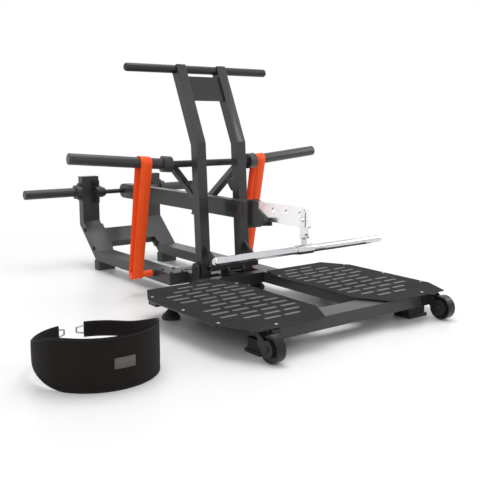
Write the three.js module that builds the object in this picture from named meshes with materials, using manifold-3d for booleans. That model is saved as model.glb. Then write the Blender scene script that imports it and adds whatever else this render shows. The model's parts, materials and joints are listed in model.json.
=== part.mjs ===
// Belt squat machine: a lever arm hinged on a welded frame, with a standing platform,
// a leaning handle frame, plate horns, stretch bands and a hip belt.
// Millimetres. X runs across the machine, Y from the platform to the rear, Z up.
import * as THREE from 'three';
import { mergeVertices } from 'three/addons/utils/BufferGeometryUtils.js';
import Module from 'manifold-3d';

const wasm = await Module();
wasm.setup();

// Fits and mesh fineness
const gap = 0.3;
const overrun = 5;
const weepRadius = 4;
const weld = 1e-4;
const roundSides = 24;
const smallSides = 12;
const boltSides = 6;
const capSteps = 4;

// Tube stock
const wall = 3;
const squareTube = 50;
const flatTube = 100;
const frameBottom = 55;

// Uprights and handle bar
const uprightInner = 89;
const uprightLean = 3.4;
const uprightKneeZ = 716;
const uprightTopLean = 24.6;
const handleZ = 1052;
const handleRadius = 19;
const handleHalf = 400;
const handleCapRound = 12;
const handleSaddle = 14;

// Badge plate between the uprights
const badgeDrop = 33;
const badgeTall = 112;
const badgeThick = 5;
const badgeFlange = 30;
const badgeBoltRadius = 7;
const badgeBoltHead = 5;

// Foot of the uprights: the foot beam's ears, the struts, and the crosspiece over the latch
const footBeamDepth = flatTube;
const earThick = 8;
const earDepth = 55;
const earLow = 66;
const earTop = 164;
const earRound = 12;
const strutInner = 109;
const strutThick = 10;
const strutTop = 246;
const strutUnder = 208;
const strutFront = -64;
const strutDeep = 28;
const strutNose = 190;
const strutDrop = 20;
const crosspieceFront = -60;
const crosspieceDepth = 30;
const crosspieceLow = 135;
const crosspieceHigh = 160;
const latchHalf = 48;
const latchCheek = 8;
const latchFront = -76;
const latchDepth = 62;
const latchTop = 147;
const latchRound = 20;
const latchBarRadius = 6;
const latchBarRise = 11;
const lugThick = 10;
const lugReach = 66;
const lugLow = 480;
const lugHigh = 537;

// Rear frames: post, incline and floor rail from one bent tube each
const railCentre = 200;
const postY = 1058;
const postTop = 505;
const postKneeZ = 241.7;
const inclineRun = 178;
const platePad = 34;
const plateThick = 8;
const studRadius = 6;
const boltHeadRadius = 11;
const boltHead = 8;

// Base crossbeam under the arm
const baseBeamFront = 111;
const tieLong = 120;
const tieThick = 6;
const tieHeadInset = 20;

// Pivot, bearings and plate horns
const pivotAhead = 73;
const pivotZ = 419;
const shaftRadius = 12.5;
const hubRadius = 38;
const hubHalf = 25;
const bearingInner = 152;
const bearingWide = 42;
const bearingTall = 126;
const bearingBossRadius = 29;
const bearingBossOut = 12;
const bearingPadThick = 12;
const bearingShoulder = 35;
const bearingBoltInset = 13;
const hornRadius = 25;
const hornEnd = 575;
const hornWall = 4;
const hornCollarRadius = 39;
const hornCollarLength = 26;
const hornFlange = 96;
const hornFlangeThick = 8;

// Lever beam and its rest
const beamWide = 50;
const beamTall = 80;
const beamFront = -187;
const flangeThick = 8;
const flangeWide = 62;
const flangeLow = 343;
const flangeHigh = 470;
const restY = 207;
const restPost = 40;
const restSeatThick = 8;
const restSeatReach = 70;
const restRib = 8;
const bumperHigh = 14;

// Crossbar, collars, sleeves and braces of the arm
const crossbarY = 139;
const crossbarZ = 617;
const crossbarRadius = 16;
const collarStart = 222;
const collarRadius = 37;
const collarLength = 43;
const sleeveRadius = 25;
const sleeveEnd = 700;
const sleeveWall = 4;
const sleeveSweep = 5.8;
const sleeveRise = 4.6;
const sleeveRound = 3;
const braceWide = 26;
const braceDeep = 40;
const braceFootZ = 428;
const braceTopX = 205;
const braceFootY = 200;
const braceTopY = 166;

// Front bracket, extension plate and lock pin
const cheekThick = 8;
const cheekTop = 467;
const cheekBottom = 350;
const cheekNose = 236;
const cheekStepZ = 437;
const cheekToe = 304;
const cheekToeZ = 400;
const bladeThick = 12;
const bladeTop = 465;
const bladeTall = 80;
const bladeEnd = -572;
const bladeRound = 10;
const bladeHoleRadius = 11;
const bladeHoleZ = 437;
const bladeHolePitch = 86;
const bladeHoleFirst = -344;
const bladeHoleCount = 3;
const pinY = -322;
const pinZ = 386;
const pinRadius = 6;
const pinKnobRadius = 14;
const pinKnobLength = 24;
const pinBossRadius = 17;

// Hanger and chrome bar
const hangerY = -537;
const hangerZ = 418;
const hangerLowZ = 346;
const strapThick = 5;
const strapWide = 24;
const strapTop = 458;
const hangerPinRadius = 6;
const hangerNutRadius = 10;
const hangerNut = 7;
const strapClear = 2;
const barZ = 294;
const barRadius = 16;
const barHalf = 453.5;
const clampHalf = 44;
const clampRadius = 20;
const lugEyeThick = 10;

// Platform frame and plates
const neckFront = -108;
const rearBeamFront = -95;
const sideBeamInner = 146;
const frontBeamFront = -842;
const frontBeamHalf = 434;
const deckTop = 113;
const deckThick = 4;
const deckRearY = -112;
const deckInner = 107;
const deckInnerY = -245;
const deckInnerRear = 150;
const deckWide = 573;
const deckWideFront = 565;
const deckRearX = 500;
const deckFrontX = 498;
const deckFrontY = -866;
const deckMidFront = 187;
const deckSideRearY = -246;
const deckSideFrontY = -733;
const slotLong = 79;
const slotWide = 18;
const slotDeep = 0.9;
const slotPitchX = 95;
const slotPitchY = 53.3;
const slotFirstY = -170;
const slotOfTwoX = 251;
const slotOfThreeX = 209;
const slotOfFourX = 181;
const outerRailInset = 18;
const outerRailWide = 25;
const outerRailTall = 15;
const outerRailRearY = -256;
const outerRailFrontY = -683;
const crossRailY = -196;
const crossRailWide = 40;
const crossRailTall = 40;

// Feet
const frontFootInner = 351;
const frontFootLong = 97;
const frontFootDeep = 70;
const frontFootY = -773;
const rearFootY = 883;
const rearFootDeep = 52;
const footLip = 8;
const footLipTall = 12;
const levelRadius = 38;
const levelPad = 14;
const levelNeck = 13;
const levelCone = 40;
const levelX = 441;
const beamFootX = 112;
const beamFootY = 60;
const neckFootX = 185;
const neckFootY = 7;

// Wheels
const wheelRadius = 50;
const wheelRim = 31;
const wheelWide = 42;
const wheelX = 457;
const wheelY = -892;
const wheelFloorGap = 1.5;
const axleRadius = 6;
const forkThick = 6;
const forkClear = 2;
const forkArm = 30;
const forkFromAngle = 60;
const forkToAngle = 290;
const forkBack = 6;
const forkReachX = 385;

// Band pegs and bands
const pegY = 250;
const pegZ = 95;
const pegRadius = 15;
const pegEnd = 383;
const pegCollarRadius = 19;
const pegCollarLength = 20;
const bandWide = 54;
const bandThick = 4;
const bandClear = 1.2;
const bandLeftX = -353;
const bandRightX = 299;
const bandArcSteps = 8;

// Hip belt, standing on the floor beside the platform
const beltX = -970;
const beltY = -600;
const beltRadius = 204;
const beltThick = 10;
const beltTall = 172;
const beltEndTall = 56;
const beltWideAngle = 50;
const beltTaperAngle = 130;
const beltEndAngle = 166.5;
const beltSteps = 60;
const beltRound = 3;
const ringWire = 3;
const ringLong = 42;
const ringTall = 34;
const ringSlot = 16;
const ringRoom = 0.9;

// Places that follow from the sizes above
const frameTop = frameBottom + squareTube;
const frameMid = frameBottom + squareTube / 2;
const halfSquare = squareTube / 2;
const uprightOuter = uprightInner + squareTube;
const uprightCentre = uprightInner + halfSquare;
const railInner = railCentre - flatTube / 2;
const railOuter = railCentre + flatTube / 2;
const baseBeamRear = baseBeamFront + squareTube;
const pivotY = postY - pivotAhead;
const railKneeY = postY - inclineRun;
const badgeHigh = handleZ - badgeDrop;
const badgeLow = badgeHigh - badgeTall;
const beamBottom = pivotZ - beamTall / 2;
const beamTop = pivotZ + beamTall / 2;
const footBeamRear = baseBeamFront - gap;
const footBeamFront = footBeamRear - footBeamDepth;
const sideBeamOuter = sideBeamInner + squareTube;
const platformRear = rearBeamFront + squareTube;
const cheekInner = bladeThick / 2 + gap;
const cheekOuter = cheekInner + cheekThick;
const bladeBottom = bladeTop - bladeTall;

const rad = THREE.MathUtils.degToRad;
const uprightSlope = Math.tan(rad(uprightLean));
const uprightTopSlope = Math.tan(rad(uprightTopLean));
const uprightKneeY = uprightKneeZ * uprightSlope;

// front face of the uprights at a height
function uprightFront(z) {
  const above = Math.max(z - uprightKneeZ, 0);
  return Math.min(z, uprightKneeZ) * uprightSlope + above * uprightTopSlope;
}

// Finishes
function finish(color, roughness, metalness) {
  return new THREE.MeshStandardMaterial({ color, roughness, metalness });
}
const powder = finish('#4a4b4d', 0.55, 0.3);
const black = finish('#222325', 0.6, 0.2);
const chrome = finish('#d9dcdf', 0.12, 1);
const rubber = finish('#1a1a1b', 0.85, 0);
const tyre = finish('#161616', 0.8, 0);
const bandRubber = finish('#ef5a1f', 0.6, 0);
const nylon = finish('#262320', 0.95, 0);

// Solids
// six times the volume inside a closed mesh, below zero when its faces look inward
function signedVolume(position, index) {
  const corner = (i) => new THREE.Vector3().fromBufferAttribute(position, index[i]);
  let volume = 0;
  for (let i = 0; i < index.length; i += 3) {
    volume += corner(i).dot(corner(i + 1).cross(corner(i + 2)));
  }
  return volume;
}

function solid(geometry) {
  const bare = geometry.clone();
  bare.deleteAttribute('normal');
  bare.deleteAttribute('uv');
  const merged = mergeVertices(bare, weld);
  const { position } = merged.attributes;
  const index = new Uint32Array(merged.index.array);
  if (signedVolume(position, index) < 0) index.reverse();
  return new wasm.Manifold(new wasm.Mesh({
    numProp: position.itemSize,
    vertProperties: new Float32Array(position.array),
    triVerts: index,
  }));
}

function join(...parts) {
  return parts.reduce((whole, part) => whole.add(part));
}

function cut(whole, ...tools) {
  return tools.reduce((rest, tool) => rest.subtract(tool), whole);
}

function geometryOf(body) {
  const mesh = body.getMesh();
  const geometry = new THREE.BufferGeometry();
  const places = new Float32Array(mesh.vertProperties);
  geometry.setAttribute('position', new THREE.BufferAttribute(places, mesh.numProp));
  geometry.setIndex(new THREE.BufferAttribute(new Uint32Array(mesh.triVerts), 1));
  geometry.computeVertexNormals();
  return geometry;
}

// a block between two corners, given in any order
function block(xa, xb, ya, yb, za, zb) {
  const shape = new THREE.BoxGeometry(Math.abs(xb - xa), Math.abs(yb - ya), Math.abs(zb - za));
  shape.translate((xa + xb) / 2, (ya + yb) / 2, (za + zb) / 2);
  return solid(shape);
}

const axes = {
  x: [new THREE.Vector3(0, 1, 0), new THREE.Vector3(0, 0, 1), new THREE.Vector3(1, 0, 0)],
  y: [new THREE.Vector3(1, 0, 0), new THREE.Vector3(0, 0, 1), new THREE.Vector3(0, -1, 0)],
  z: [new THREE.Vector3(1, 0, 0), new THREE.Vector3(0, 1, 0), new THREE.Vector3(0, 0, 1)],
};

// an outline in the plane across an axis, drawn out along that axis between two places
function prism(axis, outline, from, to) {
  const shape = new THREE.Shape(outline.map(([a, b]) => new THREE.Vector2(a, b)));
  const low = Math.min(from, to);
  const high = Math.max(from, to);
  const geometry = new THREE.ExtrudeGeometry(shape, { depth: high - low, bevelEnabled: false });
  geometry.applyMatrix4(new THREE.Matrix4().makeBasis(...axes[axis]));
  const start = axis === 'y' ? -high : low;
  geometry.translate(...axes[axis][2].clone().multiplyScalar(start).toArray());
  return solid(geometry);
}

// points of an arc in a plane, angles in degrees
function arc(a, b, radius, from, to, steps) {
  return Array.from({ length: steps + 1 }, (_, i) => {
    const angle = rad(from + (to - from) * i / steps);
    return [a + radius * Math.cos(angle), b + radius * Math.sin(angle)];
  });
}

// a round bar between two points
function rod(from, to, radius, sides = roundSides) {
  const a = new THREE.Vector3(...from);
  const b = new THREE.Vector3(...to);
  const along = b.clone().sub(a);
  const shape = new THREE.CylinderGeometry(radius, radius, along.length(), sides);
  shape.applyQuaternion(new THREE.Quaternion().setFromUnitVectors(
    new THREE.Vector3(0, 1, 0), along.normalize()));
  shape.translate(...a.add(b).multiplyScalar(1 / 2).toArray());
  return solid(shape);
}

// a turned piece: [radius, distance] points about an axis that leaves a point
function turned(points, origin, direction, sides = roundSides) {
  const shape = new THREE.LatheGeometry(points.map(([r, d]) => new THREE.Vector2(r, d)), sides);
  shape.applyQuaternion(new THREE.Quaternion().setFromUnitVectors(
    new THREE.Vector3(0, 1, 0), new THREE.Vector3(...direction).normalize()));
  shape.translate(...origin);
  return solid(shape);
}

// the outline of a strip of constant width that follows a path, mitred at its knees
function strip(path, half, startMore, endMore) {
  const points = path.map(([a, b]) => new THREE.Vector2(a, b));
  const last = points.length - 1;
  const heading = (i) => points[i + 1].clone().sub(points[i]).normalize();
  points[0].addScaledVector(heading(0), -startMore);
  points[last].addScaledVector(heading(last - 1), endMore);
  const side = points.map((point, i) => {
    const before = heading(Math.max(i - 1, 0));
    const after = heading(Math.min(i, last - 1));
    const across = before.clone().add(after).normalize();
    const reach = half / across.dot(after);
    return [point, new THREE.Vector2(-across.y, across.x).multiplyScalar(reach)];
  });
  const left = side.map(([p, n]) => [p.x + n.x, p.y + n.y]);
  const right = side.map(([p, n]) => [p.x - n.x, p.y - n.y]);
  return [...left, ...right.reverse()];
}

// a hollow tube bent in the YZ plane; its ends are open or closed by a cap as thick as the wall
function bentTube(path, deep, inner, outer, startOpen, endOpen) {
  const more = (open) => (open ? overrun : -wall);
  const low = Math.min(inner, outer);
  const high = Math.max(inner, outer);
  return cut(
    prism('x', strip(path, deep / 2, 0, 0), low, high),
    prism('x', strip(path, deep / 2 - wall, more(startOpen), more(endOpen)), low + wall, high - wall),
  );
}

// a drain hole through the floor of a closed section
function weepHole(x, y, floor) {
  return rod([x, y, floor - overrun], [x, y, floor + wall + overrun], weepRadius, boltSides);
}

// a hollow box section; a closed one has a drain hole through its floor
function boxTube(xa, xb, ya, yb, za, zb, openAlong = '') {
  const more = (axis) => (openAlong === axis ? overrun : -wall);
  const hollow = block(xa - more('x'), xb + more('x'), ya - more('y'), yb + more('y'), za + wall, zb - wall);
  const tube = cut(block(xa, xb, ya, yb, za, zb), hollow);
  return openAlong === '' ? cut(tube, weepHole((xa + xb) / 2, (ya + yb) / 2, za)) : tube;
}

// a hexagon bolt head on a face, its axis leaving the face
function boltAt(place, direction, radius = boltHeadRadius, high = boltHead) {
  const foot = new THREE.Vector3(...place);
  const top = foot.clone().addScaledVector(new THREE.Vector3(...direction), high);
  return rod(foot.toArray(), top.toArray(), radius, boltSides);
}

const machine = new THREE.Group();
function add(name, body, material, parent = machine) {
  const mesh = new THREE.Mesh(geometryOf(body), material);
  mesh.name = name;
  parent.add(mesh);
}

const sides = [['left', -1], ['right', 1]];

// Rear frames, each with a peg for a band welded to its rail
const pegLong = pegEnd - railOuter;
const inclineAngle = Math.atan2(postKneeZ - frameMid, postY - railKneeY);
const incline = [Math.cos(inclineAngle), Math.sin(inclineAngle)];
const inclineUp = [-incline[1], incline[0]];
const inclineMid = [(railKneeY + postY) / 2, (frameMid + postKneeZ) / 2];

// a point of the incline: so far along it and so far above its middle line
function onIncline(along, above) {
  return [
    inclineMid[0] + along * incline[0] + above * inclineUp[0],
    inclineMid[1] + along * incline[1] + above * inclineUp[1],
  ];
}

function inclineBlock(xa, xb, alongFrom, alongTo, aboveFrom, aboveTo) {
  return prism('x', [
    onIncline(alongFrom, aboveFrom),
    onIncline(alongTo, aboveFrom),
    onIncline(alongTo, aboveTo),
    onIncline(alongFrom, aboveTo),
  ], xa, xb);
}

const rearFramePath = [
  [baseBeamRear + gap, frameMid],
  [railKneeY, frameMid],
  [postY, postKneeZ],
  [postY, postTop],
];
const studAlong = flatTube / 2 + platePad / 2;

for (const [side, s] of sides) {
  const frame = bentTube(rearFramePath, squareTube, s * railInner, s * railOuter, true, false);
  const holes = [-studAlong, studAlong].map((along) => {
    const [y, z] = onIncline(along, 0);
    return rod([s * (railInner - overrun), y, z], [s * (railOuter + overrun), y, z],
      studRadius + gap, smallSides);
  });
  const peg = turned([
    [0, -wall / 2],
    [pegCollarRadius, -wall / 2],
    [pegCollarRadius, pegCollarLength],
    [pegRadius, pegCollarLength],
    [pegRadius, pegLong - sleeveRound],
    [pegRadius - sleeveRound, pegLong],
    [0, pegLong],
  ], [s * railOuter, pegY, pegZ], [s, 0, 0]);
  add(`rear_frame_${side}`, join(cut(frame, ...holes), peg), powder);
}

// the crossbeam's end plates carry studs that pass through the rear frames
const endPlates = sides.map(([, s]) => {
  const face = s * (railInner - gap);
  const flange = inclineBlock(face - s * plateThick, face, -studAlong - platePad / 2,
    studAlong + platePad / 2, -halfSquare, halfSquare);
  const studs = [-studAlong, studAlong].map((along) => {
    const [y, z] = onIncline(along, 0);
    const outer = s * (railOuter + gap);
    return join(
      rod([face - s * plateThick, y, z], [outer + s * wall, y, z], studRadius, smallSides),
      boltAt([outer, y, z], [s, 0, 0]),
      boltAt([face - s * plateThick, y, z], [-s, 0, 0]),
    );
  });
  return join(flange, ...studs);
});
const rearBeamHalf = railInner - gap - plateThick / 2;
const rearBeamTube = cut(
  inclineBlock(-rearBeamHalf, rearBeamHalf, -flatTube / 2, flatTube / 2, -halfSquare, halfSquare),
  inclineBlock(-rearBeamHalf - overrun, rearBeamHalf + overrun, wall - flatTube / 2,
    flatTube / 2 - wall, wall - halfSquare, halfSquare - wall),
);
const [weepY, weepZ] = onIncline(0, 0);
const rearWeep = rod([0, weepY, weepZ], [0, weepY, weepZ - flatTube], weepRadius, boltSides);
add('rear_crossbeam', cut(join(rearBeamTube, ...endPlates), rearWeep), powder);

// Base crossbeam: its two top plates overlap the ends of the rails and are bolted to them
const tiePlates = sides.map(([, s]) => {
  const strap = block(s * railInner, s * railOuter, baseBeamFront, baseBeamFront + tieLong,
    frameTop + gap, frameTop + gap + tieThick);
  const seat = block(s * railInner, s * railOuter, baseBeamFront, baseBeamRear, frameTop - wall,
    frameTop + 2 * gap);
  const heads = [tieHeadInset, flatTube - tieHeadInset].flatMap((x) => (
    [tieHeadInset, tieLong - tieHeadInset].map((y) => boltAt(
      [s * (railInner + x), baseBeamFront + y, frameTop + tieThick], [0, 0, 1],
      badgeBoltRadius, badgeBoltHead))));
  return join(strap, seat, ...heads);
});
add('base_crossbeam', join(boxTube(-railOuter, railOuter, baseBeamFront, baseBeamRear,
  frameBottom, frameTop), ...tiePlates), powder);

// Foot beam, with an ear at each end that is bolted through to the foot of the upright
const earFront = footBeamFront;
const earMiddle = earFront + earDepth / 2;
const earBoltZ = earTop - earDepth / 2;
const earOutline = [
  ...arc(earMiddle, earBoltZ, earDepth / 2, 0, 180, capSteps * 2),
  ...arc(earFront + earRound, earLow + earRound, earRound, 180, 270, capSteps),
  ...arc(earFront + earDepth - earRound, earLow + earRound, earRound, 270, 360, capSteps),
];
const ears = sides.map(([, s]) => {
  const outer = s * (railInner + earThick);
  const ear = prism('x', earOutline, s * (railInner - wall / 2), outer);
  const spacer = rod([s * (uprightOuter + gap), earMiddle, earBoltZ], [outer, earMiddle, earBoltZ],
    boltHeadRadius, smallSides);
  return join(ear, spacer, boltAt([outer, earMiddle, earBoltZ], [s, 0, 0]));
});
add('foot_beam', join(boxTube(-railInner, railInner, footBeamFront, footBeamRear,
  frameBottom, frameTop), ...ears), powder);

// Necks to the platform: one under the latch, and one on the right that passes the side beam
const neckRear = platformRear + gap;
add('platform_neck', boxTube(-latchHalf, latchHalf, neckRear, footBeamFront - gap,
  frameBottom, frameTop), powder);
const sideNeckInner = railInner + earThick + gap;
const sideNeckBlocks = (less) => join(
  block(sideNeckInner + less, railOuter - less, neckRear + less, footBeamRear - less,
    frameBottom + less, frameTop - less),
  block(sideBeamOuter + gap + less, railOuter - less, neckFront + less, neckRear + less + overrun,
    frameBottom + less, frameTop - less),
);
add('platform_side_neck', cut(sideNeckBlocks(0), sideNeckBlocks(wall),
  weepHole(railCentre, footBeamRear - footBeamDepth / 2, frameBottom)), powder);

// Uprights: bent square tubes whose tops are coped round the handle bar
const uprightMid = halfSquare / Math.cos(rad(uprightLean));
const uprightTopMid = halfSquare / Math.cos(rad(uprightTopLean));
const handleY = uprightFront(handleZ) + uprightTopMid;
const uprightHead = [
  handleY + handleSaddle * Math.sin(rad(uprightTopLean)),
  handleZ + handleSaddle * Math.cos(rad(uprightTopLean)),
];
const kneeAngle = rad((uprightTopLean + uprightLean) / 2);
const kneeReach = halfSquare / Math.cos(rad((uprightTopLean - uprightLean) / 2));
const uprightKnee = [
  uprightKneeY + kneeReach * Math.cos(kneeAngle),
  uprightKneeZ - kneeReach * Math.sin(kneeAngle),
];
const uprightPath = [
  [uprightFront(frameTop + gap) + uprightMid, frameTop + gap],
  uprightKnee,
  uprightHead,
];

// the path's lower end is squared to the floor
const belowFoot = block(-uprightOuter - overrun, uprightOuter + overrun, -flatTube, flatTube * 2,
  frameBottom, frameTop + gap);
const handleCutter = rod([-uprightOuter - overrun, handleY, handleZ],
  [uprightOuter + overrun, handleY, handleZ], handleRadius + gap);

const backOf = (z) => uprightFront(z) + 2 * uprightMid;
const strutOutline = [
  [uprightFront(strutTop) + wall / 2, strutTop],
  [strutFront, strutNose],
  [strutFront, crosspieceHigh + gap],
  [strutFront + strutDeep, crosspieceHigh + gap],
  [strutFront + strutDeep, strutNose - strutDrop],
  [uprightFront(strutUnder) + wall / 2, strutUnder],
];
const lugOutline = [
  [backOf(lugLow) - wall / 2, lugLow],
  [backOf(lugLow) + lugReach / 2, lugLow],
  [backOf(lugHigh) + lugReach - lugThick, (lugLow + lugHigh) / 2],
  [backOf(lugHigh) + lugReach, lugHigh],
  [backOf(lugHigh) - wall / 2, lugHigh],
];
for (const [side, s] of sides) {
  const path = uprightPath.map((point) => [...point]);
  path[0][0] -= overrun * uprightSlope;
  path[0][1] -= overrun;
  const tube = bentTube(path, squareTube, s * uprightInner, s * uprightOuter, true, true);
  const strut = prism('x', strutOutline, s * strutInner, s * (strutInner + strutThick));
  const lug = prism('x', lugOutline, s * (uprightCentre - lugThick), s * uprightCentre);
  add(`upright_${side}`, join(cut(tube, belowFoot, handleCutter), strut, lug), powder);
}

const handleProfile = [
  [0, -handleHalf],
  ...arc(handleRadius - handleCapRound, handleCapRound - handleHalf, handleCapRound, -90, 0, capSteps),
  ...arc(handleRadius - handleCapRound, handleHalf - handleCapRound, handleCapRound, 0, 90, capSteps),
  [0, handleHalf],
];
add('handle_bar', turned(handleProfile, [0, handleY, handleZ], [1, 0, 0]), black);

// Badge plate: a bare plate with a folded flange on each side, bolted between the uprights
const badgeHalf = uprightInner - gap;
const badgeMidY = (z) => uprightFront(z) + halfSquare / 2;
const badgePath = [[badgeMidY(badgeLow), badgeLow], [badgeMidY(badgeHigh), badgeHigh]];
const badgeBack = (share) => [
  badgePath[0][0] + (badgePath[1][0] - badgePath[0][0]) * share + badgeFlange / 2,
  badgePath[0][1] + (badgePath[1][1] - badgePath[0][1]) * share,
];
const badgeBoltShares = [0.2, 0.8];
const badgeFace = prism('x', strip(badgePath, badgeThick / 2, 0, 0), -badgeHalf, badgeHalf);
const badgeFlanges = sides.map(([, s]) => {
  const lowEnd = badgePath[0];
  const highEnd = badgePath[1];
  const fold = prism('x', [
    lowEnd,
    [lowEnd[0] + badgeFlange, lowEnd[1]],
    [highEnd[0] + badgeFlange, highEnd[1]],
    highEnd,
  ], s * (badgeHalf - badgeThick), s * badgeHalf);
  const heads = badgeBoltShares.map((share) => boltAt(
    [s * (badgeHalf - badgeThick), ...badgeBack(share)], [-s, 0, 0], badgeBoltRadius, badgeBoltHead));
  return join(fold, ...heads);
});
add('badge_plate', join(badgeFace, ...badgeFlanges), black);

// The latch: a crosspiece under the struts, over a bracket with two round-topped cheeks and two bars
const crosspiece = boxTube(-uprightOuter, uprightOuter, crosspieceFront,
  crosspieceFront + crosspieceDepth, crosspieceLow, crosspieceHigh, 'x');
const latchRear = latchFront + latchDepth;
const latchLow = frameTop + gap;
const latchFloor = block(-latchHalf, latchHalf, latchFront, latchRear, latchLow, latchLow + latchCheek);
const latchOutline = [
  [latchFront, latchLow],
  [latchRear, latchLow],
  ...arc(latchRear - latchRound, latchTop - latchRound, latchRound, 0, 90, capSteps),
  ...arc(latchFront + latchRound, latchTop - latchRound, latchRound, 90, 180, capSteps),
];
const latchCheeks = [-1, 1].map((s) => prism('x', latchOutline, s * latchHalf,
  s * (latchHalf - latchCheek)));
const latchBarShares = [1 / 5, 4 / 5];
const latchBars = latchBarShares.map((share) => {
  const y = latchFront + latchDepth * share;
  const z = latchLow + latchCheek + latchBarRise;
  return rod([-latchHalf, y, z], [latchHalf, y, z], latchBarRadius, smallSides);
});
add('latch_bracket', join(crosspiece, latchFloor, ...latchCheeks, ...latchBars), black);

// Rest for the arm
const restHalf = restPost / 2;
const restCrossTop = frameTop;
const restCross = boxTube(-railInner + gap, railInner - gap, restY - halfSquare, restY + halfSquare,
  frameBottom, restCrossTop, 'x');

const bumperLow = beamBottom - gap - bumperHigh;
const seatLow = bumperLow - gap - restSeatThick;
const restTube = block(-restHalf, restHalf, restY - restHalf, restY + restHalf,
  restCrossTop - wall, seatLow + wall);
const restHollow = block(wall - restHalf, restHalf - wall, restY - restHalf + wall,
  restY + restHalf - wall, restCrossTop - wall - overrun, seatLow);
const restSeat = block(-restHalf, restHalf, restY - restHalf, restY + restSeatReach, seatLow,
  seatLow + restSeatThick);
const restGusset = prism('x', [
  [restY + restHalf - wall, seatLow + wall],
  [restY + restSeatReach, seatLow + wall],
  [restY + restHalf - wall, seatLow - restSeatReach],
], -restRib / 2, restRib / 2);
add('rest_post', cut(join(restCross, restTube, restSeat, restGusset), restHollow), powder);
add('rest_bumper', block(-restHalf, restHalf, restY - restHalf, restY + restSeatReach - overrun,
  seatLow + restSeatThick + gap, beamBottom - gap), rubber);

// Bearings on the front faces of the posts
const postFront = postY - halfSquare;
for (const [side, s] of sides) {
  const inner = s * bearingInner;
  const outer = s * (bearingInner + bearingWide);
  const foot = block(inner, outer, postFront - gap - bearingPadThick, postFront - gap,
    pivotZ - bearingTall / 2, pivotZ + bearingTall / 2);
  const housing = prism('x', [
    ...arc(pivotY, pivotZ, bearingBossRadius, 270, 90, capSteps * 2),
    [postFront - gap - bearingPadThick / 2, pivotZ + bearingShoulder],
    [postFront - gap - bearingPadThick / 2, pivotZ - bearingShoulder],
  ], inner, outer);
  const nose = rod([inner - s * bearingBossOut, pivotY, pivotZ], [outer, pivotY, pivotZ],
    bearingBossRadius - overrun);
  const heads = [-1, 1].map((up) => boltAt([s * (bearingInner + bearingWide / 2),
    postFront - gap - bearingPadThick, pivotZ + up * (bearingTall / 2 - bearingBoltInset)],
  [0, -1, 0]));
  const bore = rod([inner - s * (bearingBossOut + overrun), pivotY, pivotZ],
    [outer + s * overrun, pivotY, pivotZ], shaftRadius + gap);
  add(`bearing_${side}`, cut(join(foot, housing, nose, ...heads), bore), black);
}

// Plate horns on the outer faces of the posts
for (const [side, s] of sides) {
  const start = railOuter + gap;
  const flangeHalf = hornFlange / 2;
  const length = hornEnd - start;
  const horn = turned([
    [0, length],
    [hornRadius - sleeveRound, length],
    [hornRadius, length - sleeveRound],
    [hornRadius, hornFlangeThick + hornCollarLength],
    [hornCollarRadius, hornFlangeThick + hornCollarLength],
    [hornCollarRadius, hornFlangeThick / 2],
    [hornRadius - hornWall, hornFlangeThick / 2],
    [hornRadius - hornWall, length - hornWall],
    [0, length - hornWall],
  ].reverse(), [s * start, postY, pivotZ], [s, 0, 0]);
  const bore = rod([s * (start - overrun), postY, pivotZ], [s * (start + hornFlangeThick + overrun),
    postY, pivotZ], hornRadius - hornWall);
  const flange = cut(block(s * start, s * (start + hornFlangeThick), postY - halfSquare,
    postY + halfSquare, pivotZ - flangeHalf, pivotZ + flangeHalf), bore);
  const inset = boltHeadRadius;
  const heads = [-1, 1].flatMap((back) => [-1, 1].map((up) => boltAt(
    [s * (start + hornFlangeThick), postY + back * (halfSquare - inset),
      pivotZ + up * (flangeHalf - inset)], [s, 0, 0], badgeBoltRadius, badgeBoltHead)));
  add(`plate_horn_${side}`, join(horn, flange, ...heads), powder);
}

// Platform frame
add('platform_rear_beam', boxTube(gap - sideBeamInner, sideBeamInner - gap, rearBeamFront,
  platformRear, frameBottom, frameTop), black);

const frontBeamRear = frontBeamFront + flatTube;
for (const [side, s] of sides) {
  add(`platform_side_beam_${side}`, boxTube(
    Math.min(s * sideBeamInner, s * sideBeamOuter),
    Math.max(s * sideBeamInner, s * sideBeamOuter),
    frontBeamRear + gap, platformRear, frameBottom, frameTop), powder);
}
add('platform_front_beam', boxTube(-frontBeamHalf, frontBeamHalf, frontBeamFront, frontBeamRear,
  frameBottom, frameTop), powder);

const deckLow = deckTop - deckThick;
const outerRailLow = deckLow - gap - outerRailTall;
const sideX = (y) => deckWide + (deckWideFront - deckWide) * (y - deckSideRearY)
  / (deckSideFrontY - deckSideRearY);
const crossRailInner = sideBeamOuter + gap;

const deckOutline = [
  [deckInnerRear, deckRearY],
  [deckRearX, deckRearY],
  [deckWide, deckSideRearY],
  [deckWideFront, deckSideFrontY],
  [deckFrontX, deckFrontY],
  [deckMidFront, deckFrontY],
  [deckInner, deckSideFrontY],
  [deckInner, deckInnerY],
];

// blind slots in rows of two, three or four across the plate
const slotRowCounts = [2, 3, 4, 4, 4, 3, 3, 4, 4, 4, 3, 2];
const slotRowStarts = { 2: slotOfTwoX, 3: slotOfThreeX, 4: slotOfFourX };
const slotPlaces = slotRowCounts.flatMap((count, row) => Array.from({ length: count }, (_, i) => (
  [slotRowStarts[count] + slotPitchX * i, slotFirstY - slotPitchY * row])));
const slotRun = (slotLong - slotWide) / 2;

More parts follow.
